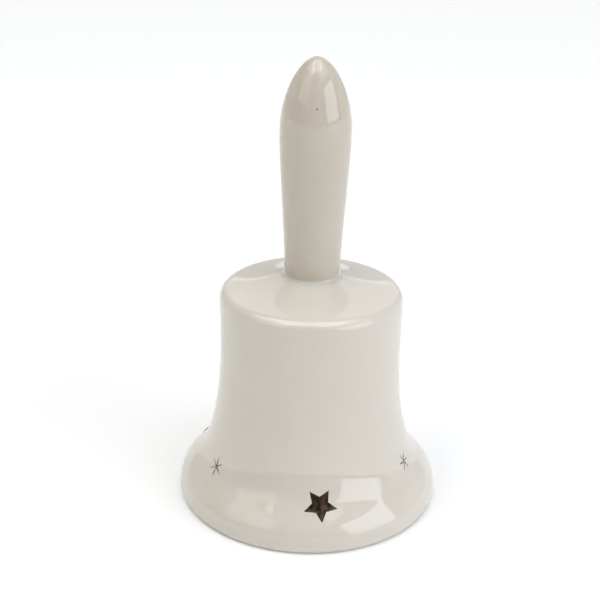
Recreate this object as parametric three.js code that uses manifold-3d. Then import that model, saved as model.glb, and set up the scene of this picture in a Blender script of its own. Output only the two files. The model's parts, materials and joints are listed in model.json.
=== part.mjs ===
// Porcelain table bell. A slip-cast bell body and a slip-cast hollow handle are luted together.
// A plug of cement in the crown holds a wire staple, and a chain of oval links hangs a glazed
// porcelain ball from it, which strikes the wall when the bell is shaken.
// Millimetres, +Z up, origin in the middle of the ring that the bell stands on.
import * as THREE from 'three';
import { mergeVertices } from 'three/addons/utils/BufferGeometryUtils.js';
import Module from 'manifold-3d';

const wasm = await Module();
wasm.setup();

// ---- Driving dimensions: bell body ----
const FOOT = { inner: 35.6, outer: 36.4, edge: 1.7 }; // flat ring it stands on, height of its round edge
const RIM = { r: 38, z: 3.7, pull: 3.6 }; // widest radius, and where the rim starts to turn in
const FLARE = { r: 32.1, z: 12.7, lean: 53.6, pullDown: 2.4, pullUp: 5 }; // bulge turns to hollow here
const WAIST = { r: 26, z: 46.7, pullDown: 18, pullUp: 3.8 };
const CROWN = { r: 26.1, z: 64.4, round: 3.1, slope: 0.164 }; // top edge, and the fall of the crown
const CROWN_RISE = 1.7; // how far the crown is drawn up to the handle, over its plain slope
const WALL = 3;
const FOOT_INNER_ROUND = 0.6;
const INNER_CORNER = 5; // slip gathers in the corner under the crown
const VENT_RADIUS = 3.4; // hole through the crown, under the handle

// ---- Driving dimensions: handle ----
const NECK = { r: 7.9, z: 69, pull: 12.5 }; // narrowest, just over the crown
const GRIP = { r: 9.8, z: 109.5, pullDown: 11.3, pullUp: 11.5 }; // widest
const TIP = { z: 129.8, pull: 3.9 };
const HANDLE_WALL = 2.2;
const TIP_WALL = 3.2;
const TIP_INNER_PULL = 2.6;

// ---- Driving dimensions: joining ring and cement plug ----
const LUTE = { r: 8.9, height: 2, lip: 0.2 };
const PLUG = { headRadius: 4.8, headTop: 72.4, headEdge: 70, domeRadius: 5, domeDrop: 1.3 };

// ---- Driving dimensions: staple, chain and clapper ----
const STAPLE = { wire: 1.2, bend: 2.1, bottom: 57.5, top: 70.5 }; // bottom is the wire's centre
const LINK = { count: 5, wire: 1, length: 8.6, width: 4.8, split: 0.15 };
const EYE = { bend: 1.9, from: -55, to: 240, pullEye: 0.6, pullStem: 0.7 }; // degrees round the eye
const BALL = { r: 6.5, z: 14, bore: 0.8 };
const CAP = { gap: 0.1, thickness: 0.4, rimAngle: 60 };
const PIN_HEAD = { r: 1.3, height: 0.9 };

// ---- Gaps ----
const SEAM = 0.1; // film of slip or cement between two set faces
const PLAY = 0.12; // slack where one wire hangs on another
const LEG_GAP = 0.25; // cement round each leg of the staple

// ---- How finely round things are cut ----
const BODY_SEGMENTS = 60;
const HANDLE_SEGMENTS = 36;
const BALL_SEGMENTS = 28;
const SMALL_SEGMENTS = 20;
const WIRE_SIDES = 8;
const STEPS = {
  edge: 3, bulge: 5, hollow: 8, side: 2, crown: 5,
  rise: 6, dome: 8, fillet: 5,
  ball: 14, cap: 4, staple: 20, link: 26, pin: 34,
};

// ---- Materials ----
const glaze = () => new THREE.MeshStandardMaterial({ color: '#dcd7cd', roughness: 0.18, metalness: 0 });
const cement = () => new THREE.MeshStandardMaterial({ color: '#c9c3b4', roughness: 0.9, metalness: 0 });
const brass = () => new THREE.MeshStandardMaterial({ color: '#b08d4f', roughness: 0.35, metalness: 1 });

// ---- Outlines in a plane through the axis: x is the radius, y is the height ----
const at = (r, z) => new THREE.Vector2(r, z);
const radians = THREE.MathUtils.degToRad;

// A smooth stretch from a to b that leaves along the pull at a and arrives along the pull at b.
function stretch(a, pullA, b, pullB) {
  return new THREE.CubicBezierCurve(a, a.clone().add(pullA), b.clone().add(pullB), b);
}

// Points along a curve, moved towards the inside by inset, with the outside on the right.
function along(curve, steps, inset = 0) {
  return Array.from({ length: steps + 1 }, (_, i) => {
    const tangent = curve.getTangent(i / steps);
    return curve.getPoint(i / steps).sub(at(tangent.y, -tangent.x).multiplyScalar(inset));
  });
}

// Points on an arc, or on a stretch of an ellipse where the two radii differ. Angles in degrees.
function arc(centre, radiusX, radiusY, from, to, steps) {
  return Array.from({ length: steps + 1 }, (_, i) => {
    const angle = radians(THREE.MathUtils.lerp(from, to, i / steps));
    return at(centre.x + radiusX * Math.cos(angle), centre.y + radiusY * Math.sin(angle));
  });
}

// ---- Shapes ----

// Turns an outline round the Z axis. It runs upwards on the outside and downwards inside.
function turned(outline, segments) {
  return new THREE.LatheGeometry(outline, segments).rotateX(Math.PI / 2);
}

// As turned, for an outline that doesn't touch the axis and so closes on itself.
function turnedRing(outline, segments) {
  return turned([...outline, outline[0].clone()], segments);
}

// Round wire bent along a path.
function wire(path, diameter, steps) {
  const section = new THREE.Shape();
  section.absarc(0, 0, diameter / 2, 0, 2 * Math.PI);
  return new THREE.ExtrudeGeometry(section, { steps, extrudePath: path, curveSegments: WIRE_SIDES / 2 });
}

// A flat bend in the XZ plane about the point (0, 0, z). Angles in degrees, from +X towards +Z.
class Bend extends THREE.Curve {
  constructor(radius, z, from, to) {
    super();
    Object.assign(this, { radius, z, from, to });
  }

  getPoint(t, target = new THREE.Vector3()) {
    const angle = radians(THREE.MathUtils.lerp(this.from, this.to, t));
    return target.set(this.radius * Math.cos(angle), 0, this.z + this.radius * Math.sin(angle));
  }
}

const inPlane = (x, z) => new THREE.Vector3(x, 0, z);

function joined(...curves) {
  const path = new THREE.CurvePath();
  curves.forEach((curve) => path.add(curve));
  return path;
}

// ---- Solids, for joins and cuts ----
function toSolid(geometry) {
  const bare = geometry.index ? geometry.clone() : geometry;
  bare.deleteAttribute('normal');
  bare.deleteAttribute('uv');
  const merged = mergeVertices(bare, 1e-5);
  const triVerts = Uint32Array.from(merged.index.array);
  const vertProperties = Float32Array.from(merged.attributes.position.array);
  return new wasm.Manifold(new wasm.Mesh({ numProp: 3, vertProperties, triVerts }));
}

function toGeometry(solid) {
  const { vertProperties, triVerts } = solid.getMesh();
  const geometry = new THREE.BufferGeometry();
  geometry.setAttribute('position', new THREE.BufferAttribute(vertProperties, 3));
  geometry.setIndex(new THREE.BufferAttribute(triVerts, 1));
  geometry.computeVertexNormals();
  return geometry;
}

// ---- Heights on the crown ----
const crownAngle = THREE.MathUtils.radToDeg(Math.atan(CROWN.slope));
const crownLength = Math.hypot(1, CROWN.slope);
const crownEdgeCentre = at(CROWN.r - CROWN.round, CROWN.z - CROWN.round);

// Height at a radius of the cone that touches the round of the crown's edge.
function crownCone(r) {
  return crownEdgeCentre.y + CROWN.round * crownLength + CROWN.slope * (crownEdgeCentre.x - r);
}

// Height of the crown's top face at a radius: the cone, drawn up towards the handle's foot.
function crownTop(r) {
  const inwards = (crownEdgeCentre.x - Math.max(r, NECK.r)) / (crownEdgeCentre.x - NECK.r);
  return crownCone(r) + CROWN_RISE * Math.max(0, inwards) ** 2;
}

// Height of the ceiling inside the bell at a radius.
function ceiling(r) {
  return crownCone(r) - WALL * crownLength;
}

// ---- Bell body ----
function bellShell() {
  const lean = at(-Math.cos(radians(FLARE.lean)), Math.sin(radians(FLARE.lean)));
  const rimPoint = at(RIM.r, RIM.z);
  const flarePoint = at(FLARE.r, FLARE.z);
  const waistPoint = at(WAIST.r, WAIST.z);
  const edgePoint = at(CROWN.r, crownEdgeCentre.y);
  const flareDown = lean.clone().multiplyScalar(-FLARE.pullDown);
  const flareUp = lean.clone().multiplyScalar(FLARE.pullUp);
  const bulge = stretch(rimPoint, at(0, RIM.pull), flarePoint, flareDown);
  const hollow = stretch(flarePoint, flareUp, waistPoint, at(0, -WAIST.pullDown));
  const side = stretch(waistPoint, at(0, WAIST.pullUp), edgePoint, at(0, -WAIST.pullUp));
  const cornerCentreR = CROWN.r - WALL - INNER_CORNER;
  const cornerCentre = at(cornerCentreR, ceiling(cornerCentreR) - INNER_CORNER * crownLength);
  const footRoundCentre = at(FOOT.inner, FOOT_INNER_ROUND);
  const crownSpan = crownEdgeCentre.x - NECK.r;
  const crownRadii = Array.from(
    { length: STEPS.crown },
    (_, i) => crownEdgeCentre.x - (crownSpan * (i + 1)) / STEPS.crown,
  );
  const outside = [
    at(FOOT.inner, 0),
    ...arc(at(FOOT.outer, FOOT.edge), RIM.r - FOOT.outer, FOOT.edge, -90, 0, STEPS.edge),
    ...along(bulge, STEPS.bulge),
    ...along(hollow, STEPS.hollow).slice(1),
    ...along(side, STEPS.side).slice(1),
    ...arc(crownEdgeCentre, CROWN.round, CROWN.round, 0, 90 - crownAngle, STEPS.edge).slice(1),
    ...crownRadii.map((r) => at(r, crownTop(r))),
    at(VENT_RADIUS, crownTop(VENT_RADIUS)),
  ];
  const inside = [
    at(VENT_RADIUS, ceiling(VENT_RADIUS)),
    ...arc(cornerCentre, INNER_CORNER, INNER_CORNER, 90 - crownAngle, 0, STEPS.edge),
    ...along(hollow, STEPS.hollow - 2, WALL).reverse(),
    ...along(bulge, STEPS.bulge - 2, WALL).reverse().slice(1),
    ...arc(footRoundCentre, FOOT_INNER_ROUND, FOOT_INNER_ROUND, 180, 270, STEPS.edge).slice(0, -1),
  ];
  return turnedRing([...outside, ...inside], BODY_SEGMENTS);
}

// ---- Handle: a hollow casting with an open foot that stands on the crown ----
function handleShell() {
  const neck = at(NECK.r, NECK.z);
  const grip = at(GRIP.r, GRIP.z);
  const gripInside = at(GRIP.r - HANDLE_WALL, GRIP.z);
  const rise = stretch(neck, at(0, NECK.pull), grip, at(0, -GRIP.pullDown));
  const dome = stretch(grip, at(0, GRIP.pullUp), at(0, TIP.z), at(TIP.pull, 0));
  const domeInsideTip = at(0, TIP.z - TIP_WALL);
  const domeInsideRise = at(0, GRIP.pullUp - TIP_WALL);
  const domeInside = stretch(gripInside, domeInsideRise, domeInsideTip, at(TIP_INNER_PULL, 0));
  const footInner = NECK.r - HANDLE_WALL;
  const outline = [
    ...along(domeInside, STEPS.dome - 3).reverse(),
    ...along(rise, STEPS.rise - 2, HANDLE_WALL).reverse().slice(1),
    at(footInner, crownTop(footInner) + SEAM),
    at(NECK.r, crownTop(NECK.r) + SEAM),
    ...along(rise, STEPS.rise),
    ...along(dome, STEPS.dome).slice(1),
  ];
  return turned(outline, HANDLE_SEGMENTS);
}

// ---- Fillet of slip that joins the handle's foot to the crown ----
function lutingRing() {
  const inner = NECK.r + SEAM;
  const foot = crownTop(inner) + SEAM;
  const edge = crownTop(LUTE.r) + SEAM;
  const hollowCentre = at(LUTE.r, foot + LUTE.height);
  const outline = [
    at(inner, foot),
    at(LUTE.r, edge),
    ...arc(hollowCentre, LUTE.r - inner - LUTE.lip, LUTE.height - LUTE.lip, 270, 180, STEPS.fillet),
    at(inner, foot + LUTE.height),
  ];
  return turnedRing(outline, HANDLE_SEGMENTS);
}

// ---- Cement plug: a shank through the vent with a head above and a dab below ----
function cementPlug() {
  const shank = VENT_RADIUS - 2 * SEAM;
  const dabEdge = ceiling(PLUG.domeRadius) - SEAM;
  const headBottom = crownTop(shank) + SEAM;
  const headCurve = PLUG.headTop - PLUG.headEdge;
  const outline = [
    ...arc(at(0, dabEdge), PLUG.domeRadius, PLUG.domeDrop, -90, 0, STEPS.cap),
    at(shank, ceiling(VENT_RADIUS) - SEAM),
    at(shank, headBottom),
    at(PLUG.headRadius, headBottom),
    ...arc(at(0, PLUG.headEdge), PLUG.headRadius, headCurve, 0, 90, STEPS.cap),
  ];
  const channelDepth = STAPLE.top + LEG_GAP - STAPLE.bottom;
  const channelRadius = STAPLE.wire / 2 + LEG_GAP;
  const channel = new THREE.CylinderGeometry(channelRadius, channelRadius, channelDepth, SMALL_SEGMENTS)
    .rotateX(Math.PI / 2)
    .translate(0, 0, STAPLE.bottom + channelDepth / 2);
  const left = toSolid(channel.clone().translate(-STAPLE.bend, 0, 0));
  const right = toSolid(channel.clone().translate(STAPLE.bend, 0, 0));
  return toGeometry(toSolid(turned(outline, SMALL_SEGMENTS)).subtract(left).subtract(right));
}

// ---- Staple: a U of wire whose legs are set in the plug ----
function hangerStaple() {
  const bendZ = STAPLE.bottom + STAPLE.bend;
  const path = joined(
    new THREE.LineCurve3(inPlane(-STAPLE.bend, STAPLE.top), inPlane(-STAPLE.bend, bendZ)),
    new Bend(STAPLE.bend, bendZ, 180, 360),
    new THREE.LineCurve3(inPlane(STAPLE.bend, bendZ), inPlane(STAPLE.bend, STAPLE.top)),
  );
  return wire(path, STAPLE.wire, STEPS.staple);
}

// ---- Chain link: an oval of wire in the XZ plane, split in the middle of one side ----
function chainLink() {
  const bend = (LINK.width - LINK.wire) / 2;
  const half = (LINK.length - LINK.width) / 2;
  const path = joined(
    new THREE.LineCurve3(inPlane(bend, LINK.split / 2), inPlane(bend, half)),
    new Bend(bend, half, 0, 180),
    new THREE.LineCurve3(inPlane(-bend, half), inPlane(-bend, -half)),
    new Bend(bend, -half, 180, 360),
    new THREE.LineCurve3(inPlane(bend, -half), inPlane(bend, -LINK.split / 2)),
  );
  return wire(path, LINK.wire, STEPS.link);
}

// ---- Eye pin: an eye, a stem through the ball and a peened head under it ----
function eyePin(eyeCentre, headTop) {
  const end = radians(EYE.to);
  const eyeEnd = inPlane(EYE.bend * Math.cos(end), eyeCentre + EYE.bend * Math.sin(end));
  const onwards = inPlane(-Math.sin(end), Math.cos(end)).multiplyScalar(EYE.pullEye);
  const stemTop = inPlane(0, eyeCentre - EYE.bend - LINK.wire);
  const path = joined(
    new Bend(EYE.bend, eyeCentre, EYE.from, EYE.to),
    new THREE.CubicBezierCurve3(
      eyeEnd, eyeEnd.clone().add(onwards), stemTop.clone().add(inPlane(0, EYE.pullStem)), stemTop,
    ),
    new THREE.LineCurve3(stemTop, inPlane(0, headTop - PIN_HEAD.height / 2)),
  );
  const head = [...arc(at(0, headTop), PIN_HEAD.r, PIN_HEAD.height, -90, 0, STEPS.cap), at(0, headTop)];
  const stem = toSolid(wire(path, LINK.wire, STEPS.pin));
  return toGeometry(stem.add(toSolid(turned(head, SMALL_SEGMENTS))));
}

// ---- Clapper ball with a bore for the pin ----
function clapperBall() {
  const pole = THREE.MathUtils.radToDeg(Math.acos(BALL.bore / BALL.r));
  return turnedRing(arc(at(0, 0), BALL.r, BALL.r, -pole, pole, STEPS.ball), BALL_SEGMENTS);
}

// ---- Bead cap: a thin brass cup over one end of the ball's bore, side 1 on top, -1 below ----
function beadCap(side) {
  const inner = BALL.r + CAP.gap;
  const outer = inner + CAP.thickness;
  const hole = THREE.MathUtils.radToDeg(Math.acos(BALL.bore / outer));
  const [from, to] = side > 0 ? [CAP.rimAngle, hole] : [-hole, -CAP.rimAngle];
  const outline = [
    ...arc(at(0, 0), outer, outer, from, to, STEPS.cap),
    ...arc(at(0, 0), inner, inner, to, from, STEPS.cap),
  ];
  return turnedRing(outline, SMALL_SEGMENTS);
}

// ---- Assembly ----
const bell = new THREE.Group();

function place(name, geometry, material, z = 0, quarterTurn = false) {
  const mesh = new THREE.Mesh(geometry, material);
  mesh.name = name;
  mesh.position.z = z;
  mesh.rotation.z = quarterTurn ? Math.PI / 2 : 0;
  bell.add(mesh);
}

place('bell_shell', bellShell(), glaze());
place('handle_shell', handleShell(), glaze());
place('luting_ring', lutingRing(), glaze());
place('cement_plug', cementPlug(), cement());
place('hanger_staple', hangerStaple(), brass());

// Each link's upper bend lies on the lower bend of the wire above, and every second one is turned.
const hangsUp = (wireAbove) => wireAbove / 2 + LINK.wire / 2 + PLAY;
let pivot = STAPLE.bottom;
for (let i = 1; i <= LINK.count; i += 1) {
  const topWire = pivot + hangsUp(i === 1 ? STAPLE.wire : LINK.wire);
  const bottomWire = topWire - (LINK.length - LINK.wire);
  place(`chain_link_${i}`, chainLink(), brass(), (topWire + bottomWire) / 2, i % 2 === 1);
  pivot = bottomWire;
}

const eyeCentre = pivot + hangsUp(LINK.wire) - EYE.bend;
const capBottom = BALL.z - BALL.r - CAP.gap - CAP.thickness;
place('clapper_eye_pin', eyePin(eyeCentre, capBottom - SEAM), brass());
place('bead_cap_top', beadCap(1), brass(), BALL.z);
place('clapper_ball', clapperBall(), glaze(), BALL.z);
place('bead_cap_bottom', beadCap(-1), brass(), BALL.z);

export default bell;
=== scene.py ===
import json
import math

import bmesh
import bpy
from mathutils import Matrix, Vector, noise


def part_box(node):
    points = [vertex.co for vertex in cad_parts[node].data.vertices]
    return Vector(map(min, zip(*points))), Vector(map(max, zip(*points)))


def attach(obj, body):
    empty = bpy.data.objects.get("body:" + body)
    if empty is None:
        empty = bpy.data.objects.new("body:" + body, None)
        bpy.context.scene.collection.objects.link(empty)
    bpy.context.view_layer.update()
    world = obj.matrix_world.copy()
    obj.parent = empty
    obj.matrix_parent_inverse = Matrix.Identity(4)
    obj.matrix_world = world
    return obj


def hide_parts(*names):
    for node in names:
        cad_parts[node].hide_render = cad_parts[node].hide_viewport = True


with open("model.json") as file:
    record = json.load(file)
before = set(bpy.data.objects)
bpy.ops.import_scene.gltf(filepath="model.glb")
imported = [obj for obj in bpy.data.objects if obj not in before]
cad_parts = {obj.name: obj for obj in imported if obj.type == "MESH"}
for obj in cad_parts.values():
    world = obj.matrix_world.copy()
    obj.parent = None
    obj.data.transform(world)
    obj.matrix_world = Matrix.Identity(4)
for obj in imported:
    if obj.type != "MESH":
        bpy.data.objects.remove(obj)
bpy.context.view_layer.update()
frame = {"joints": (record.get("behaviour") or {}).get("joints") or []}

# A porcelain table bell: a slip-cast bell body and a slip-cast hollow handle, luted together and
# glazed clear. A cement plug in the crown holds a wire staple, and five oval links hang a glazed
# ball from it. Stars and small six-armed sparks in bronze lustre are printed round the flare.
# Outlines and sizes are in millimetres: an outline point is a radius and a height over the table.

MM = 0.001


def top_of(node):
    """Height of a node's highest point."""
    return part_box(node)[1].z / MM


def middle_of(node):
    """Height of a node's middle."""
    low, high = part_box(node)
    return (low.z + high.z) / 2 / MM


def reach_of(node):
    """How far a node reaches from the axis along X."""
    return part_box(node)[1].x / MM


def hinge_height(name):
    """Height of a joint's axis."""
    hinge = next(joint for joint in frame["joints"] if joint["name"] == name)
    return hinge["pos_m"][2] / MM


# ---- Sizes: bell body ----
FOOT_INNER, FOOT_OUTER, FOOT_EDGE, FOOT_INNER_ROUND = 35.6, 36.4, 1.7, 0.6
RIM_R, RIM_Z, RIM_PULL = reach_of("bell_shell"), 3.7, 3.6
FLARE_R, FLARE_Z, FLARE_LEAN, FLARE_PULL_DOWN, FLARE_PULL_UP = 32.1, 12.7, 53.6, 2.4, 5.0
WAIST_R, WAIST_Z, WAIST_PULL_DOWN, WAIST_PULL_UP = 26.0, 46.7, 18.0, 3.8
CROWN_R, CROWN_Z, CROWN_ROUND, CROWN_SLOPE, CROWN_RISE = 26.1, 64.4, 3.1, 0.164, 1.7
WALL, INNER_CORNER, VENT_R, BARE_HEIGHT = 3.0, 5.0, 3.4, 0.25

# ---- Sizes: handle and the slip that joins it ----
NECK_R, NECK_Z, NECK_PULL = 7.9, 69.0, 12.5
GRIP_R, GRIP_Z, GRIP_PULL_DOWN, GRIP_PULL_UP = 9.8, 109.5, 11.3, 11.5
TIP_Z, TIP_PULL, TIP_WALL, TIP_INNER_PULL = top_of("handle_shell"), 3.9, 3.2, 2.6
HANDLE_WALL, SEAM = 2.2, 0.1
LUTE_R, LUTE_HEIGHT, LUTE_SINK = 8.9, 1.1, 0.05

# ---- Sizes: plug, staple, chain and clapper ----
PLUG_HEAD_R, PLUG_HEAD_EDGE, PLUG_TOP = 4.8, 70.0, top_of("cement_plug")
PLUG_DAB_R, PLUG_DAB_DROP = 5.0, 1.3
STAPLE_WIRE, STAPLE_BEND, STAPLE_TOP = 1.2, 2.1, top_of("hanger_staple")
LINKS = 5
LINK_WIRE, LINK_LENGTH, LINK_WIDTH, LINK_SPLIT, WIRE_SLACK = 1.0, 8.6, 4.8, 0.15, 0.12
EYE_BEND, EYE_FROM, EYE_TO, EYE_PULL, STEM_PULL = 1.9, -55, 240, 0.6, 0.7
BALL_R, BALL_BORE, BALL_Z = 6.5, 0.8, middle_of("clapper_ball")
CAP_GAP, CAP_THICKNESS, CAP_RIM_ANGLE = 0.1, 0.4, 60
PIN_HEAD_R, PIN_HEAD_HEIGHT = 1.3, 0.9

# ---- Sizes: the prints round the flare, along the wall and over it ----
STAR_R, STAR_NOTCH_R, STAR_UP, STAR_TURN = 4.83, 2.39, 15.2, 2.4
SPARK_R, SPARK_HALF_WIDTH, SPARK_HUB = 2.85, 0.21, 0.40
PRINT_LIFT, PRINT_SINK = 0.02, 0.01

SPARK_SHOULDER, SPARK_TAPER = 0.6, 0.35
STAR_AZIMUTHS = (7, 127, 247)
# Each spark's azimuth, length up the wall and turn: they were put on by hand, so all differ.
SPARK_SPOTS = ((-57.5, 17.9, 35), (66.4, 18.8, -5), (186, 18.3, 12))
PRINT_STEPS = 8

# ---- Cut ends of wire and the lip of the ball's bore ----
CUT_ROUND, BORE_LIP = 0.06, 0.25

# ---- Unevenness left by the mould, the sponge and the glaze ----
CAST_SWELL, CAST_DEPTH = 21.0, 0.07
LUTE_SWELL, LUTE_DEPTH = 3.5, 0.10
CEMENT_SWELL, CEMENT_DEPTH = 1.1, 0.25

# ---- How finely round things are cut ----
BODY_SEGMENTS, HANDLE_SEGMENTS, BALL_SEGMENTS, SMALL_SEGMENTS, WIRE_SIDES = 192, 128, 72, 48, 20


# ==== Outlines ====

def at(r, z):
    """An outline point at a radius and a height."""
    return Vector((r, z))


def stretch(a, pull_a, b, pull_b, steps):
    """A smooth stretch that leaves a along its pull and arrives at b along its pull."""
    points = []
    for i in range(steps + 1):
        t, u = i / steps, 1 - i / steps
        points.append(a * u**3 + (a + pull_a) * 3 * u * u * t + (b + pull_b) * 3 * u * t * t + b * t**3)
    return points


def arc(centre, radius_r, radius_z, start, end, steps):
    """An arc, or part of an ellipse where the two radii differ. Angles in degrees."""
    angles = [math.radians(start + (end - start) * i / steps) for i in range(steps + 1)]
    return [centre + at(radius_r * math.cos(a), radius_z * math.sin(a)) for a in angles]


def straight(a, b, steps):
    """A straight stretch from a to b."""
    return [a.lerp(b, i / steps) for i in range(steps + 1)]


def inset(points, depth):
    """The same stretch moved into the wall, which lies on its left."""
    moved = []
    for i, point in enumerate(points):
        onward = (points[min(i + 1, len(points) - 1)] - points[max(i - 1, 0)]).normalized()
        moved.append(point + at(-onward.y, onward.x) * depth)
    return moved


def sloping(start, end, height, steps):
    """A stretch of the crown between two radii, at the height that a function of radius gives."""
    radii = [start + (end - start) * i / steps for i in range(steps + 1)]
    return [at(r, height(r)) for r in radii]


CROWN_TILT = math.atan(CROWN_SLOPE)
CROWN_CENTRE = at(CROWN_R - CROWN_ROUND, CROWN_Z - CROWN_ROUND)


def crown_cone(r):
    """Height at a radius of the cone that touches the round of the crown's edge."""
    return CROWN_CENTRE.y + CROWN_ROUND / math.cos(CROWN_TILT) + CROWN_SLOPE * (CROWN_CENTRE.x - r)


def crown_top(r):
    """Height of the crown's top face at a radius: the cone, drawn up towards the handle's foot."""
    inwards = (CROWN_CENTRE.x - max(r, NECK_R)) / (CROWN_CENTRE.x - NECK_R)
    return crown_cone(r) + CROWN_RISE * max(0, inwards)**2


def ceiling(r):
    """Height of the ceiling inside the bell at a radius."""
    return crown_cone(r) - WALL / math.cos(CROWN_TILT)


FLARE_UP = at(-math.cos(math.radians(FLARE_LEAN)), math.sin(math.radians(FLARE_LEAN)))
FLARE_POINT, WAIST_POINT = at(FLARE_R, FLARE_Z), at(WAIST_R, WAIST_Z)
BULGE = stretch(at(RIM_R, RIM_Z), at(0, RIM_PULL), FLARE_POINT, FLARE_UP * -FLARE_PULL_DOWN, 26)
HOLLOW = stretch(FLARE_POINT, FLARE_UP * FLARE_PULL_UP, WAIST_POINT, at(0, -WAIST_PULL_DOWN), 44)
SIDE = stretch(WAIST_POINT, at(0, WAIST_PULL_UP), at(CROWN_R, CROWN_CENTRE.y), at(0, -WAIST_PULL_UP), 16)
CROWN_EDGE = 90 - math.degrees(CROWN_TILT)
BODY_OUTSIDE = [
    *arc(at(FOOT_OUTER, FOOT_EDGE), RIM_R - FOOT_OUTER, FOOT_EDGE, -90, 0, 14),
    *BULGE,
    *HOLLOW[1:],
    *SIDE[1:],
    *arc(CROWN_CENTRE, CROWN_ROUND, CROWN_ROUND, 0, CROWN_EDGE, 18)[1:],
    *sloping(CROWN_CENTRE.x + CROWN_ROUND * math.sin(CROWN_TILT), VENT_R, crown_top, 18)[1:],
]


def body_inside():
    """The inner outline, from the vent hole down to the foot."""
    corner_r = CROWN_R - WALL - INNER_CORNER
    corner = at(corner_r, ceiling(corner_r) - INNER_CORNER / math.cos(CROWN_TILT))
    return [
        *sloping(VENT_R, corner_r + INNER_CORNER * math.sin(CROWN_TILT), ceiling, 10),
        *arc(corner, INNER_CORNER, INNER_CORNER, CROWN_EDGE, 0, 14)[1:],
        *reversed(inset(HOLLOW, WALL)),
        *reversed(inset(BULGE, WALL)[:-1]),
        *arc(at(FOOT_INNER, FOOT_INNER_ROUND), FOOT_INNER_ROUND, FOOT_INNER_ROUND, 180, 270, 8),
    ]


def handle_walls():
    """The inner outline, from the tip of the hollow down to the foot, and the outer one back up."""
    grip = at(GRIP_R, GRIP_Z)
    tip = at(0, TIP_Z)
    rise = stretch(at(NECK_R, NECK_Z), at(0, NECK_PULL), grip, at(0, -GRIP_PULL_DOWN), 48)
    dome = stretch(grip, at(0, GRIP_PULL_UP), tip, at(TIP_PULL, 0), 40)
    dome_inside = stretch(
        at(GRIP_R - HANDLE_WALL, GRIP_Z), at(0, GRIP_PULL_UP - TIP_WALL),
        at(0, TIP_Z - TIP_WALL), at(TIP_INNER_PULL, 0), 20,
    )
    foot_inner = NECK_R - HANDLE_WALL
    inside = [
        *reversed(dome_inside),
        *reversed(inset(rise[::2], HANDLE_WALL)[:-1]),
        at(foot_inner, crown_top(foot_inner) + SEAM),
    ]
    return inside, [at(NECK_R, crown_top(NECK_R) + SEAM), *rise, *dome[1:]]


def lute_outline():
    """A concave fillet of slip between crown and handle, sunk a little into both."""
    inner = NECK_R - LUTE_SINK
    hollow = arc(at(LUTE_R, LUTE_HEIGHT), LUTE_R - inner, LUTE_HEIGHT, 270, 180, 20)
    return [
        at(inner, crown_top(inner) - LUTE_SINK),
        *[at(p.x, crown_top(p.x) - LUTE_SINK + p.y) for p in hollow],
    ]


def plug_outline():
    """A dab under the ceiling, a shank through the vent and a head in the handle's hollow."""
    shank = VENT_R - 2 * SEAM
    head_bottom = crown_top(shank) + SEAM
    return [
        *arc(at(0, ceiling(PLUG_DAB_R) - SEAM), PLUG_DAB_R, PLUG_DAB_DROP, -90, 0, 22),
        at(shank, ceiling(VENT_R) - SEAM),
        at(shank, head_bottom),
        at(PLUG_HEAD_R, head_bottom),
        *arc(at(0, PLUG_HEAD_EDGE), PLUG_HEAD_R, PLUG_TOP - PLUG_HEAD_EDGE, 0, 90, 14),
    ]


def ball_outline():
    """The ball with its bore, whose lips are chamfered a little."""
    pole = math.degrees(math.acos(BALL_BORE / BALL_R))
    wall = [at(BALL_BORE, BALL_Z + z) for z in (BALL_R - 2 * BORE_LIP, 0, 2 * BORE_LIP - BALL_R)]
    return [*arc(at(0, BALL_Z), BALL_R, BALL_R, 3 - pole, pole - 3, 60), *wall]


def cap_outline(side):
    """A thin dished cap with a rounded rim, over (side 1) or under (side -1) the ball."""
    inner = BALL_R + CAP_GAP
    middle, outer, half = inner + CAP_THICKNESS / 2, inner + CAP_THICKNESS, CAP_THICKNESS / 2
    hole = math.degrees(math.acos(BALL_BORE / outer))
    rim = math.radians(CAP_RIM_ANGLE + math.degrees(half / middle))
    rim_centre = at(middle * math.cos(rim), middle * math.sin(rim))
    rolled = arc(rim_centre, half, half, CAP_RIM_ANGLE - 180, CAP_RIM_ANGLE, 8)
    start = math.degrees(rim)
    points = [
        *rolled,
        *arc(at(0, 0), outer, outer, start, hole, 12)[1:],
        *arc(at(0, 0), inner, inner, hole, start, 12)[:-1],
    ]
    return [at(p.x, BALL_Z + side * p.y) for p in points]


# ==== Meshes ====

def finished(name, vertices, faces, crease):
    """A mesh object in metres, faces outwards, smooth but for edges sharper than crease degrees."""
    mesh = bpy.data.meshes.new(name)
    mesh.from_pydata([v * MM for v in vertices], [], faces)
    work = bmesh.new()
    work.from_mesh(mesh)
    bmesh.ops.remove_doubles(work, verts=work.verts, dist=1e-7)
    bmesh.ops.recalc_face_normals(work, faces=work.faces)
    for face in work.faces:
        face.smooth = True
    work.to_mesh(mesh)
    work.free()
    mesh.set_sharp_from_angle(angle=math.radians(crease))
    piece = bpy.data.objects.new(name, mesh)
    bpy.context.scene.collection.objects.link(piece)
    return piece


def uneven(point, swell, depth):
    """How far a hand-made surface falls short of its true shape there: from 0 to depth."""
    return depth * min(1, max(0, 0.5 + 0.8 * noise.noise(point / swell)))


def outward(outline, i):
    """The outward direction of an outline that runs up its outside."""
    onward = outline[min(i + 1, len(outline) - 1)] - outline[max(i - 1, 0)]
    return at(onward.y, -onward.x).normalized()


def round_axis(r, z, azimuth):
    """A point at a radius and height. Azimuth 0 is the front, and it grows towards +X."""
    return Vector((r * math.sin(azimuth), -r * math.cos(azimuth), z))


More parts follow.
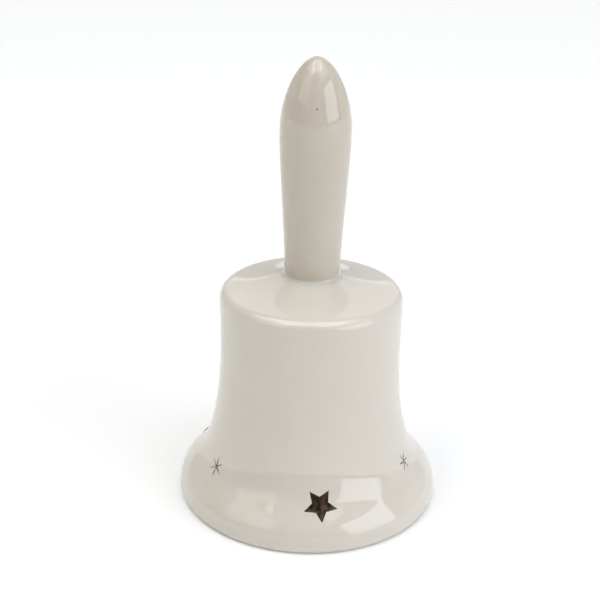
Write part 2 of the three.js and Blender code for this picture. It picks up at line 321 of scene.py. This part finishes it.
def turned(name, outline, segments, crease=40, sag=None, skin=None):
    """Turns an outline round the axis. sag(point) says how far a point falls short of its true
    place, for the outline points whose numbers are in skin, or for all of them."""
    vertices, rings, faces = [], [], []
    for i, point in enumerate(outline):
        count = segments if point.x > 1e-6 else 1
        rings.append((len(vertices), count))
        away = outward(outline, i)
        sags = sag and (skin is None or i in skin)
        for k in range(count):
            azimuth = 2 * math.pi * k / segments
            depth = sag(round_axis(point.x, point.y, azimuth)) if sags else 0
            moved = point - away * depth
            vertices.append(round_axis(moved.x if count > 1 else 0, moved.y, azimuth))
    closes = outline[0].x > 1e-6
    for i in range(len(outline) if closes else len(outline) - 1):
        (a, a_count), (b, b_count) = rings[i], rings[(i + 1) % len(outline)]
        for k in range(segments):
            n = (k + 1) % segments
            corners = [a + k % a_count, a + n % a_count, b + n % b_count, b + k % b_count]
            faces.append([c for j, c in enumerate(corners) if c != corners[j - 1]])
    return finished(name, vertices, faces, crease)


def swept(name, path, radii, quarter_turn=False):
    """Round wire along points (sideways, height) in the XZ plane, or in YZ with a quarter turn."""
    across = Vector((0, 1, 0))
    vertices, faces = [], []
    for i, (point, radius) in enumerate(zip(path, radii)):
        ahead = next((p for p in path[i + 1:] if (p - point).length > 1e-4), point)
        behind = next((p for p in reversed(path[:i]) if (p - point).length > 1e-4), point)
        onward = (ahead - behind).normalized()
        side = Vector((-onward.y, 0, onward.x))
        for k in range(WIRE_SIDES):
            turn = 2 * math.pi * k / WIRE_SIDES
            offset = (side * math.cos(turn) + across * math.sin(turn)) * radius
            vertices.append(Vector((point.x, 0, point.y)) + offset)
    for i in range(len(path) - 1):
        for k in range(WIRE_SIDES):
            n = (k + 1) % WIRE_SIDES
            a, b = i * WIRE_SIDES, (i + 1) * WIRE_SIDES
            faces.append([a + k, a + n, b + n, b + k])
    faces.append(list(range(WIRE_SIDES)))
    faces.append([len(vertices) - 1 - k for k in range(WIRE_SIDES)])
    if quarter_turn:
        vertices = [Vector((-v.y, v.x, v.z)) for v in vertices]
    return finished(name, vertices, faces, 50)


def snipped(path, wire):
    """Path and radii of a wire whose two cut ends are slightly rounded."""
    radius, trim = wire / 2, wire * CUT_ROUND
    start = path[0] + (path[1] - path[0]).normalized() * trim
    end = path[-1] + (path[-2] - path[-1]).normalized() * trim
    full = [path[0], start, *path[1:-1], end, path[-1]]
    return full, [radius - trim, *[radius] * (len(full) - 2), radius - trim]


# ---- Prints ----
LENGTHS = [0.0]
for below, above in zip(BODY_OUTSIDE, BODY_OUTSIDE[1:]):
    LENGTHS.append(LENGTHS[-1] + (above - below).length)


def cast_sag(point):
    """Unevenness of the cast wall, fading out towards the foot."""
    return uneven(point, CAST_SWELL, CAST_DEPTH) * min(1, max(0, point.z / RIM_Z))


def up_the_wall(length):
    """Outline point and outward direction at a length along the wall from the foot's outer edge."""
    i = max(k for k in range(len(LENGTHS) - 1) if LENGTHS[k] <= length)
    share = (length - LENGTHS[i]) / (LENGTHS[i + 1] - LENGTHS[i])
    away = outward(BODY_OUTSIDE, i).lerp(outward(BODY_OUTSIDE, i + 1), share).normalized()
    return BODY_OUTSIDE[i].lerp(BODY_OUTSIDE[i + 1], share), away


def printed(name, shape, azimuth, up, turn):
    """A thin fired print: its shape, a ring of (across, up) points, laid on the wall and turned."""
    steps = PRINT_STEPS
    work = bmesh.new()
    for p, q in zip(shape, shape[1:] + shape[:1]):
        grid = {}
        for i in range(steps + 1):
            for j in range(steps + 1 - i):
                spot = (p * i + q * j) / steps
                grid[i, j] = work.verts.new((spot.x, spot.y, 0))
        for i in range(steps):
            for j in range(steps - i):
                work.faces.new((grid[i, j], grid[i + 1, j], grid[i, j + 1]))
                if i + j < steps - 1:
                    work.faces.new((grid[i + 1, j], grid[i + 1, j + 1], grid[i, j + 1]))
    bmesh.ops.remove_doubles(work, verts=work.verts, dist=1e-4)
    raised = bmesh.ops.extrude_face_region(work, geom=work.faces[:], use_keep_orig=True)["geom"]
    for vert in raised:
        if isinstance(vert, bmesh.types.BMVert):
            vert.co.z = 1
    work.verts.index_update()
    spin = Matrix.Rotation(math.radians(turn), 2)
    middle_r = up_the_wall(up)[0].x
    vertices = []
    for vert in work.verts:
        spot = spin @ vert.co.xy
        point, away = up_the_wall(up + spot.y)
        angle = math.radians(azimuth) + spot.x / middle_r
        depth = cast_sag(round_axis(point.x, point.y, angle))
        lifted = point + away * ((PRINT_LIFT if vert.co.z else -PRINT_SINK) - depth)
        vertices.append(round_axis(lifted.x, lifted.y, angle))
    faces = [[v.index for v in face.verts] for face in work.faces]
    work.free()
    return finished(name, vertices, faces, 40)


def star_shape():
    """Five points, one of them down."""
    ring = []
    for k in range(10):
        angle = math.radians(-90 + 36 * k)
        ring.append(Vector((math.cos(angle), math.sin(angle))) * (STAR_NOTCH_R if k % 2 else STAR_R))
    return ring


def spark_shape():
    """Six thin arms that taper to their ends."""
    ring = []
    for k in range(6):
        along = Vector((math.cos(math.radians(60 * k)), math.sin(math.radians(60 * k))))
        across = Vector((-along.y, along.x))
        notch = Matrix.Rotation(math.radians(30), 2) @ along
        ring += [
            along * SPARK_R * SPARK_SHOULDER - across * SPARK_HALF_WIDTH,
            along * SPARK_R - across * SPARK_HALF_WIDTH * SPARK_TAPER,
            along * SPARK_R + across * SPARK_HALF_WIDTH * SPARK_TAPER,
            along * SPARK_R * SPARK_SHOULDER + across * SPARK_HALF_WIDTH,
            notch * SPARK_HUB,
        ]
    return ring


# ==== Materials ====

def colour(code):
    """A colour given as six hex digits of sRGB, turned to linear light."""
    shares = [int(code[i:i + 2], 16) / 255 for i in (1, 3, 5)]
    linear = [s / 12.92 if s <= 0.04045 else ((s + 0.055) / 1.055) ** 2.4 for s in shares]
    return (*linear, 1)


def add(tree, kind, inputs, **settings):
    """Adds a node. Each input is a value or another node's output, which is then linked."""
    node = tree.nodes.new(kind)
    for name, value in settings.items():
        setattr(node, name, value)
    for socket, value in inputs.items():
        if isinstance(value, bpy.types.NodeSocket):
            tree.links.new(value, node.inputs[socket])
        else:
            node.inputs[socket].default_value = value
    return node


def empty_material(name):
    """A new material with no nodes yet, and its node tree."""
    material = bpy.data.materials.new(name)
    material.use_nodes = True
    material.node_tree.nodes.clear()
    return material, material.node_tree


def per_mm(size):
    """A pattern's scale where one feature measures size millimetres."""
    return 1 / (size * MM)


def glazed_porcelain(name, deep="#d2ccc1", pale="#d8d2c7", specks=()):
    """Slip-cast porcelain under a clear glaze: a warm grey-white that light enters a little way,
    with a wet, sharp gloss. specks are (place, radius) of iron spots burnt into the glaze."""
    material, tree = empty_material(name)
    place = add(tree, "ShaderNodeTexCoord", {}).outputs["Object"]
    # The body's tone drifts a little over a few centimetres, as the glaze lies thicker and thinner.
    drift = add(tree, "ShaderNodeTexNoise", {"Vector": place, "Scale": per_mm(24), "Detail": 2.0})
    tone = add(tree, "ShaderNodeMix", {
        "Factor": drift.outputs["Fac"], "A": colour(deep), "B": colour(pale),
    }, data_type="RGBA").outputs["Result"]
    # Ash specks, mostly too faint to see, a few of them darker.
    grit = add(tree, "ShaderNodeTexVoronoi", {"Vector": place, "Scale": per_mm(4.5)})
    near = add(tree, "ShaderNodeMapRange", {
        "Value": grit.outputs["Distance"], "From Min": 0.015, "From Max": 0.035,
        "To Min": 1.0, "To Max": 0.0,
    }).outputs["Result"]
    shade = add(tree, "ShaderNodeSeparateColor", {"Color": grit.outputs["Color"]}).outputs["Red"]
    rare = add(tree, "ShaderNodeMapRange", {
        "Value": shade, "From Min": 0.86, "From Max": 1.0, "To Min": 0.0, "To Max": 0.45,
    }).outputs["Result"]
    ash = add(tree, "ShaderNodeMath", {0: near, 1: rare}, operation="MULTIPLY").outputs[0]
    tone = add(tree, "ShaderNodeMix", {
        "Factor": ash, "A": tone, "B": colour("#8a7a66"),
    }, data_type="RGBA").outputs["Result"]
    for spot, radius in specks:
        away = add(tree, "ShaderNodeVectorMath", {0: place, 1: spot * MM}, operation="DISTANCE")
        dark = add(tree, "ShaderNodeMapRange", {
            "Value": away.outputs["Value"], "From Min": radius * 0.5 * MM, "From Max": radius * MM,
            "To Min": 0.85, "To Max": 0.0,
        }).outputs["Result"]
        tone = add(tree, "ShaderNodeMix", {
            "Factor": dark, "A": tone, "B": colour("#3a2c22"),
        }, data_type="RGBA").outputs["Result"]
    # The glaze's own slight ripple, which bends the edges of what it mirrors.
    ripple = add(tree, "ShaderNodeTexNoise", {"Vector": place, "Scale": per_mm(7), "Detail": 3.0})
    skin = add(tree, "ShaderNodeBump", {
        "Height": ripple.outputs["Fac"], "Strength": 0.5, "Distance": 0.03 * MM,
    }).outputs["Normal"]
    shader = add(tree, "ShaderNodeBsdfPrincipled", {
        "Base Color": tone,
        "Roughness": 0.30,
        "IOR": 1.5,
        "Specular IOR Level": 0.0,
        "Subsurface Weight": 0.2,
        "Subsurface Radius": (1.0, 0.8, 0.6),
        "Subsurface Scale": 1.5 * MM,
        "Coat Weight": 1.0,
        "Coat Roughness": 0.03,
        "Coat IOR": 1.6,
        "Normal": skin,
        "Coat Normal": skin,
    })
    add(tree, "ShaderNodeOutputMaterial", {"Surface": shader.outputs["BSDF"]})
    return material


def bare_bisque():
    """Porcelain wiped clean of glaze, where the bell stood in the kiln: dry, chalky and rough."""
    material, tree = empty_material("bare_bisque")
    place = add(tree, "ShaderNodeTexCoord", {}).outputs["Object"]
    grain = add(tree, "ShaderNodeTexNoise", {"Vector": place, "Scale": per_mm(0.5), "Detail": 4.0})
    tone = add(tree, "ShaderNodeMix", {
        "Factor": grain.outputs["Fac"], "A": colour("#d2cabd"), "B": colour("#e6e0d5"),
    }, data_type="RGBA").outputs["Result"]
    skin = add(tree, "ShaderNodeBump", {
        "Height": grain.outputs["Fac"], "Strength": 0.5, "Distance": 0.05 * MM,
    }).outputs["Normal"]
    shader = add(tree, "ShaderNodeBsdfPrincipled", {
        "Base Color": tone, "Roughness": 0.85, "IOR": 1.5, "Normal": skin,
    })
    add(tree, "ShaderNodeOutputMaterial", {"Surface": shader.outputs["BSDF"]})
    return material


def ceramic_cement():
    """Plaster-like ceramic cement pressed in by hand: matt, buff, gritty."""
    material, tree = empty_material("ceramic_cement")
    place = add(tree, "ShaderNodeTexCoord", {}).outputs["Object"]
    grit = add(tree, "ShaderNodeTexNoise", {"Vector": place, "Scale": per_mm(0.6), "Detail": 5.0})
    tone = add(tree, "ShaderNodeMix", {
        "Factor": grit.outputs["Fac"], "A": colour("#b5ab98"), "B": colour("#d8d0c0"),
    }, data_type="RGBA").outputs["Result"]
    skin = add(tree, "ShaderNodeBump", {
        "Height": grit.outputs["Fac"], "Strength": 0.8, "Distance": 0.15 * MM,
    }).outputs["Normal"]
    shader = add(tree, "ShaderNodeBsdfPrincipled", {
        "Base Color": tone, "Roughness": 0.92, "IOR": 1.5, "Normal": skin,
    })
    add(tree, "ShaderNodeOutputMaterial", {"Surface": shader.outputs["BSDF"]})
    return material


def aged_brass():
    """Drawn brass wire, tarnished: a dull brown gold with brighter patches where it rubs."""
    material, tree = empty_material("aged_brass")
    place = add(tree, "ShaderNodeTexCoord", {}).outputs["Object"]
    patches = add(tree, "ShaderNodeTexNoise", {"Vector": place, "Scale": per_mm(2.2), "Detail": 4.0})
    worn = add(tree, "ShaderNodeMapRange", {
        "Value": patches.outputs["Fac"], "From Min": 0.38, "From Max": 0.62,
    }).outputs["Result"]
    tone = add(tree, "ShaderNodeMix", {
        "Factor": worn, "A": colour("#7d6238"), "B": colour("#c7a764"),
    }, data_type="RGBA").outputs["Result"]
    dullness = add(tree, "ShaderNodeMapRange", {
        "Value": patches.outputs["Fac"], "From Min": 0.38, "From Max": 0.62,
        "To Min": 0.48, "To Max": 0.24,
    }).outputs["Result"]
    draw_marks = add(tree, "ShaderNodeTexNoise", {"Vector": place, "Scale": per_mm(0.25), "Detail": 2.0})
    skin = add(tree, "ShaderNodeBump", {
        "Height": draw_marks.outputs["Fac"], "Strength": 0.25, "Distance": 0.02 * MM,
    }).outputs["Normal"]
    shader = add(tree, "ShaderNodeBsdfPrincipled", {
        "Base Color": tone, "Metallic": 1.0, "Roughness": dullness, "Normal": skin,
    })
    add(tree, "ShaderNodeOutputMaterial", {"Surface": shader.outputs["BSDF"]})
    return material


def bronze_lustre(name, rubbed):
    """Bronze lustre, a metal film fired on the glaze: dark brown with a metal sheen. Where it is
    rubbed, the porcelain shows through in patches."""
    material, tree = empty_material(name)
    place = add(tree, "ShaderNodeTexCoord", {}).outputs["Object"]
    # Brushed on upwards, so it lies in upright streaks.
    upright = add(tree, "ShaderNodeMapping", {"Vector": place, "Scale": (1.0, 1.0, 0.2)}).outputs["Vector"]
    streaks = add(tree, "ShaderNodeTexNoise", {"Vector": upright, "Scale": per_mm(1.4), "Detail": 3.0})
    share = add(tree, "ShaderNodeMapRange", {
        "Value": streaks.outputs["Fac"], "From Min": 0.35, "From Max": 0.65,
    }).outputs["Result"]
    film = add(tree, "ShaderNodeMix", {
        "Factor": share, "A": colour("#1e130d"), "B": colour("#5c483c"),
    }, data_type="RGBA").outputs["Result"]
    patches = add(tree, "ShaderNodeTexNoise", {"Vector": place, "Scale": per_mm(1.3), "Detail": 3.0})
    bared = add(tree, "ShaderNodeMapRange", {
        "Value": patches.outputs["Fac"], "From Min": 0.40, "From Max": 0.60,
        "To Min": 0.0, "To Max": rubbed,
    }).outputs["Result"]
    tone = add(tree, "ShaderNodeMix", {
        "Factor": bared, "A": film, "B": colour("#cfc6b8"),
    }, data_type="RGBA").outputs["Result"]
    shader = add(tree, "ShaderNodeBsdfPrincipled", {
        "Base Color": tone,
        "Metallic": 0.75,
        "Roughness": 0.34,
        "Coat Weight": 0.15,
        "Coat Roughness": 0.08,
    })
    add(tree, "ShaderNodeOutputMaterial", {"Surface": shader.outputs["BSDF"]})
    return material


def opal_acrylic():
    """Opal acrylic with lamps under it, which ware is stood on to soften its shadow: matt and white.
    Seen from below it lets the view and the light through."""
    material, tree = empty_material("opal_acrylic")
    place = add(tree, "ShaderNodeTexCoord", {}).outputs["Object"]
    haze = add(tree, "ShaderNodeTexNoise", {"Vector": place, "Scale": per_mm(1.2), "Detail": 4.0})
    tone = add(tree, "ShaderNodeMix", {
        "Factor": haze.outputs["Fac"], "A": colour("#f0f0ef"), "B": colour("#f4f4f4"),
    }, data_type="RGBA").outputs["Result"]
    matt = add(tree, "ShaderNodeBsdfDiffuse", {"Color": tone})
    glow = add(tree, "ShaderNodeEmission", {"Color": tone, "Strength": TABLE_GLOW})
    lit = add(tree, "ShaderNodeAddShader", {0: matt.outputs["BSDF"], 1: glow.outputs["Emission"]})
    clear = add(tree, "ShaderNodeBsdfTransparent", {})
    under = add(tree, "ShaderNodeNewGeometry", {}).outputs["Backfacing"]
    sheet = add(tree, "ShaderNodeMixShader", {
        0: under, 1: lit.outputs["Shader"], 2: clear.outputs["BSDF"],
    })
    add(tree, "ShaderNodeOutputMaterial", {"Surface": sheet.outputs["Shader"]})
    return material


# ==== Camera, floor and light ====

LOOK_AT_HEIGHT = 0.06
CAMERA_PLACE, CAMERA_LENS, CAMERA_FILM = (0, -0.3152, 0.1955), 72.27, 36
CAMERA_DOWN, CAMERA_ASIDE, CAMERA_TILT = 23.24, 0.588, 1.2565
TABLE_REACH, TABLE_SINK, TABLE_GLOW = 25.0, 0.00002, 0.08
BACKDROP_REACH = 2.0


def camera():
    """Above and in front, looking down on the crown, turned and tilted by under a degree or two."""
    lens = bpy.data.cameras.new("camera")
    lens.lens = CAMERA_LENS
    lens.sensor_width = CAMERA_FILM
    lens.clip_start = 0.01
    lens.clip_end = 30
    view = bpy.data.objects.new("camera", lens)
    down, aside, tilt = (math.radians(turn) for turn in (CAMERA_DOWN, CAMERA_ASIDE, CAMERA_TILT))
    turned_to = (
        Matrix.Rotation(aside, 4, "Z")
        @ Matrix.Rotation(math.pi / 2 - down, 4, "X")
        @ Matrix.Rotation(tilt, 4, "Z")
    )
    view.matrix_world = Matrix.Translation(CAMERA_PLACE) @ turned_to
    bpy.context.scene.collection.objects.link(view)
    bpy.context.scene.camera = view


def floor():
    """A round table top, large enough to fill the view."""
    mesh = bpy.data.meshes.new("floor")
    work = bmesh.new()
    bmesh.ops.create_circle(work, cap_ends=True, radius=TABLE_REACH, segments=96)
    work.to_mesh(mesh)
    work.free()
    sheet = bpy.data.objects.new("floor", mesh)
    sheet.location.z = -TABLE_SINK
    mesh.materials.append(opal_acrylic())
    bpy.context.scene.collection.objects.link(sheet)


def matt_paper():
    """Pale backdrop paper, evenly lit: it gives the eye a plain ground and nothing to see in the glaze."""
    material, tree = empty_material("matt_paper")
    glow = add(tree, "ShaderNodeEmission", {"Color": colour("#f3f4f5"), "Strength": 1.0})
    add(tree, "ShaderNodeOutputMaterial", {"Surface": glow.outputs["Emission"]})
    return material


def backdrop():
    """A vault of paper round the table, for the eye only: it neither lights nor shades the bell."""
    mesh = bpy.data.meshes.new("backdrop")
    work = bmesh.new()
    bmesh.ops.create_uvsphere(work, u_segments=64, v_segments=32, radius=BACKDROP_REACH)
    work.to_mesh(mesh)
    work.free()
    vault = bpy.data.objects.new("backdrop", mesh)
    mesh.materials.append(matt_paper())
    vault.visible_diffuse = False
    vault.visible_glossy = False
    vault.visible_transmission = False
    vault.visible_shadow = False
    bpy.context.scene.collection.objects.link(vault)


def softbox(name, azimuth, elevation, distance, width, height, watts, tint="#ffffff"):
    """A soft lamp that faces the bell. Azimuth 0 is the camera's side, and it grows towards +X."""
    lamp = bpy.data.lights.new(name, "AREA")
    lamp.shape = "RECTANGLE"
    lamp.size, lamp.size_y = width, height
    lamp.energy = watts
    lamp.color = colour(tint)[:3]
    stand = bpy.data.objects.new(name, lamp)
    around, up = math.radians(azimuth), math.radians(elevation)
    place = Vector((math.sin(around) * math.cos(up), -math.cos(around) * math.cos(up), math.sin(up)))
    stand.location = place * distance + Vector((0, 0, LOOK_AT_HEIGHT))
    stand.rotation_mode = "QUATERNION"
    stand.rotation_quaternion = place.to_track_quat("Z", "Y")
    stand.visible_camera = False
    bpy.context.scene.collection.objects.link(stand)


def studio():
    """Softboxes three metres off: the strong ones right and above, softer ones left, upper left and
    upper right, and low weak ones behind that put a pale edge on the glaze."""
    softbox("softbox_right", 58, 20, 3, 2.4, 2.0, 37, "#f4f6ff")
    softbox("softbox_left", -54, 31, 3, 2.2, 1.4, 9, "#fffcf0")
    softbox("softbox_upper_right", 58, 62, 3, 2.6, 1.4, 14, "#fafdff")
    softbox("softbox_upper_left", -75, 62, 3, 2.6, 1.2, 18, "#fffef0")
    softbox("softbox_above", 0, 89, 3, 2.6, 2.6, 55, "#f8faff")
    softbox("softbox_back", 180, 30, 3, 3.0, 1.6, 11)
    for azimuth in (120, 180, 240):
        softbox(f"softbox_low_{azimuth}", azimuth, 9, 3, 3.2, 1.0, 4)
    # A small lamp on the table inside the mouth, for the ceiling, the chain and the clapper.
    softbox("lamp_in_mouth", 0, -90, LOOK_AT_HEIGHT - 0.002, 0.045, 0.045, 0.006)
    world = bpy.data.worlds.new("pale_room")
    world.use_nodes = True
    world.node_tree.nodes["Background"].inputs["Color"].default_value = colour("#ffffff")
    world.node_tree.nodes["Background"].inputs["Strength"].default_value = 0.15
    bpy.context.scene.world = world
    bpy.context.scene.view_settings.view_transform = "Standard"


# ==== The bell ====

def dress(piece, body, slot, node, *materials):
    """Gives a piece its materials, sets it on its body and hides the CAD node that it stands for."""
    for material in materials:
        piece.data.materials.append(material)
    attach(piece, body)
    if node:
        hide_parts(node)
    return piece


def bell_body(glaze, bisque):
    """The cast wall, glazed inside and out but for the ring it stands on."""
    outline = [*BODY_OUTSIDE, *body_inside()]
    piece = turned(
        "porcelain_body", outline, BODY_SEGMENTS, sag=cast_sag, skin=range(len(BODY_OUTSIDE))
    )
    dress(piece, "bell", "glazed_porcelain", "bell_shell", glaze, bisque)
    for face in piece.data.polygons:
        if face.center.z < BARE_HEIGHT * MM:
            face.material_index = 1


def handle(glaze):
    """The hollow casting that is held, closed at the top and open at the foot."""
    inside, outside = handle_walls()
    skin = range(len(inside), len(inside) + len(outside))
    piece = turned("porcelain_handle", inside + outside, HANDLE_SEGMENTS, sag=cast_sag, skin=skin)
    dress(piece, "bell", "glazed_porcelain", "handle_shell", glaze)


def luting(glaze):
    """Slip sponged round the handle's foot by hand, so its fillet wanders a little."""
    piece = turned(
        "luting_fillet", lute_outline(), HANDLE_SEGMENTS, sag=lambda p: uneven(p, LUTE_SWELL, LUTE_DEPTH)
    )
    dress(piece, "bell", "glazed_porcelain", "luting_ring", glaze)


def cement(paste):
    """The plug, pressed in with a finger, lumpy where it shows."""
    piece = turned(
        "cement_filling", plug_outline(), SMALL_SEGMENTS, crease=60,
        sag=lambda p: uneven(p, CEMENT_SWELL, CEMENT_DEPTH),
    )
    dress(piece, "bell", "ceramic_cement", "cement_plug", paste)


def staple(brass):
    """A U of wire whose two legs are set in the plug."""
    bottom = hinge_height("staple_to_link_1")
    bend_z = bottom + STAPLE_BEND
    path = [
        *straight(at(-STAPLE_BEND, STAPLE_TOP), at(-STAPLE_BEND, bend_z), 6),
        *arc(at(0, bend_z), STAPLE_BEND, STAPLE_BEND, 180, 360, 24)[1:],
        *straight(at(STAPLE_BEND, bend_z), at(STAPLE_BEND, STAPLE_TOP), 6)[1:],
    ]
    piece = swept("staple_wire", *snipped(path, STAPLE_WIRE))
    dress(piece, "bell", "aged_brass", "hanger_staple", brass)


def link(number, brass):
    """An oval of wire, split in the middle of one side. Every second one has a quarter turn."""
    node = f"chain_link_{number}"
    z = middle_of(node)
    bend = (LINK_WIDTH - LINK_WIRE) / 2
    half = (LINK_LENGTH - LINK_WIDTH) / 2
    gap = LINK_SPLIT / 2
    path = [
        *straight(at(bend, z + gap), at(bend, z + half), 5),
        *arc(at(0, z + half), bend, bend, 0, 180, 24)[1:],
        *straight(at(-bend, z + half), at(-bend, z - half), 8)[1:],
        *arc(at(0, z - half), bend, bend, 180, 360, 24)[1:],
        *straight(at(bend, z - half), at(bend, z - gap), 5)[1:],
    ]
    piece = swept(f"link_wire_{number}", *snipped(path, LINK_WIRE), quarter_turn=number % 2 == 1)
    dress(piece, f"link_{number}", "aged_brass", node, brass)


def eye_pin(brass):
    """An eye, a stem through the ball, and a head peened over under the lower cap."""
    eye_z = hinge_height("link_5_to_clapper") + LINK_WIRE + WIRE_SLACK - EYE_BEND
    head_top = BALL_Z - BALL_R - CAP_GAP - CAP_THICKNESS - SEAM
    eye = arc(at(0, eye_z), EYE_BEND, EYE_BEND, EYE_FROM, EYE_TO, 40)
    stem_top = at(0, eye_z - EYE_BEND - LINK_WIRE)
    end = math.radians(EYE_TO)
    path = [
        *eye,
        *stretch(eye[-1], at(-math.sin(end), math.cos(end)) * EYE_PULL, stem_top, at(0, STEM_PULL), 12)[1:],
        *straight(stem_top, at(0, head_top), 12)[1:],
    ]
    trimmed, radii = snipped(path, LINK_WIRE)
    head = arc(at(0, head_top), PIN_HEAD_R, PIN_HEAD_HEIGHT, 0, -86, 10)
    path = [*trimmed[:-2], *[at(0, point.y) for point in head]]
    radii = [*radii[:-2], *[point.x for point in head]]
    piece = swept("eye_pin_wire", path, radii)
    dress(piece, "clapper", "aged_brass", "clapper_eye_pin", brass)


def prints(lustre, rubbed_lustre):
    """Six prints, about a sixth of a turn apart: stars and sparks by turns."""
    for number, azimuth in enumerate(STAR_AZIMUTHS, start=1):
        star = printed(f"lustre_star_{number}", star_shape(), azimuth, STAR_UP, STAR_TURN)
        dress(star, "bell", "bronze_lustre", None, lustre)
    for number, (azimuth, up, turn) in enumerate(SPARK_SPOTS, start=1):
        spark = printed(f"lustre_spark_{number}", spark_shape(), azimuth, up, turn)
        dress(spark, "bell", "bronze_lustre", None, rubbed_lustre)


def build():
    """Makes every piece, in the order in which the bell is put together."""
    glaze = glazed_porcelain("glazed_porcelain")
    # The handle is the same porcelain and glaze as the body: its darker, warmer tones are painted shade.
    # Its specks are real iron spots.
    handle_glaze_painted_shade = glazed_porcelain("glazed_porcelain_handle_painted_shade", "#c3baac", "#ccc4b6", [
        (round_axis(8.75, 117.8, math.radians(1.4)), 0.30),
        (round_axis(6.33, 124.0, math.radians(-4.5)), 0.14),
        (round_axis(8.40, 82.6, math.radians(-1.6)), 0.14),
    ])
    brass = aged_brass()
    bell_body(glaze, bare_bisque())
    handle(handle_glaze_painted_shade)
    luting(glaze)
    cement(ceramic_cement())
    staple(brass)
    for number in range(1, LINKS + 1):
        link(number, brass)
    eye_pin(brass)
    ball = turned("porcelain_ball", ball_outline(), BALL_SEGMENTS)
    dress(ball, "clapper", "glazed_porcelain", "clapper_ball", glaze)
    for node, side in (("bead_cap_top", 1), ("bead_cap_bottom", -1)):
        cap = turned(f"brass_{node}", cap_outline(side), SMALL_SEGMENTS)
        dress(cap, "clapper", "aged_brass", node, brass)
    prints(bronze_lustre("bronze_lustre", 0.0), bronze_lustre("bronze_lustre_rubbed", 0.6))


camera()
floor()
backdrop()
studio()
build()
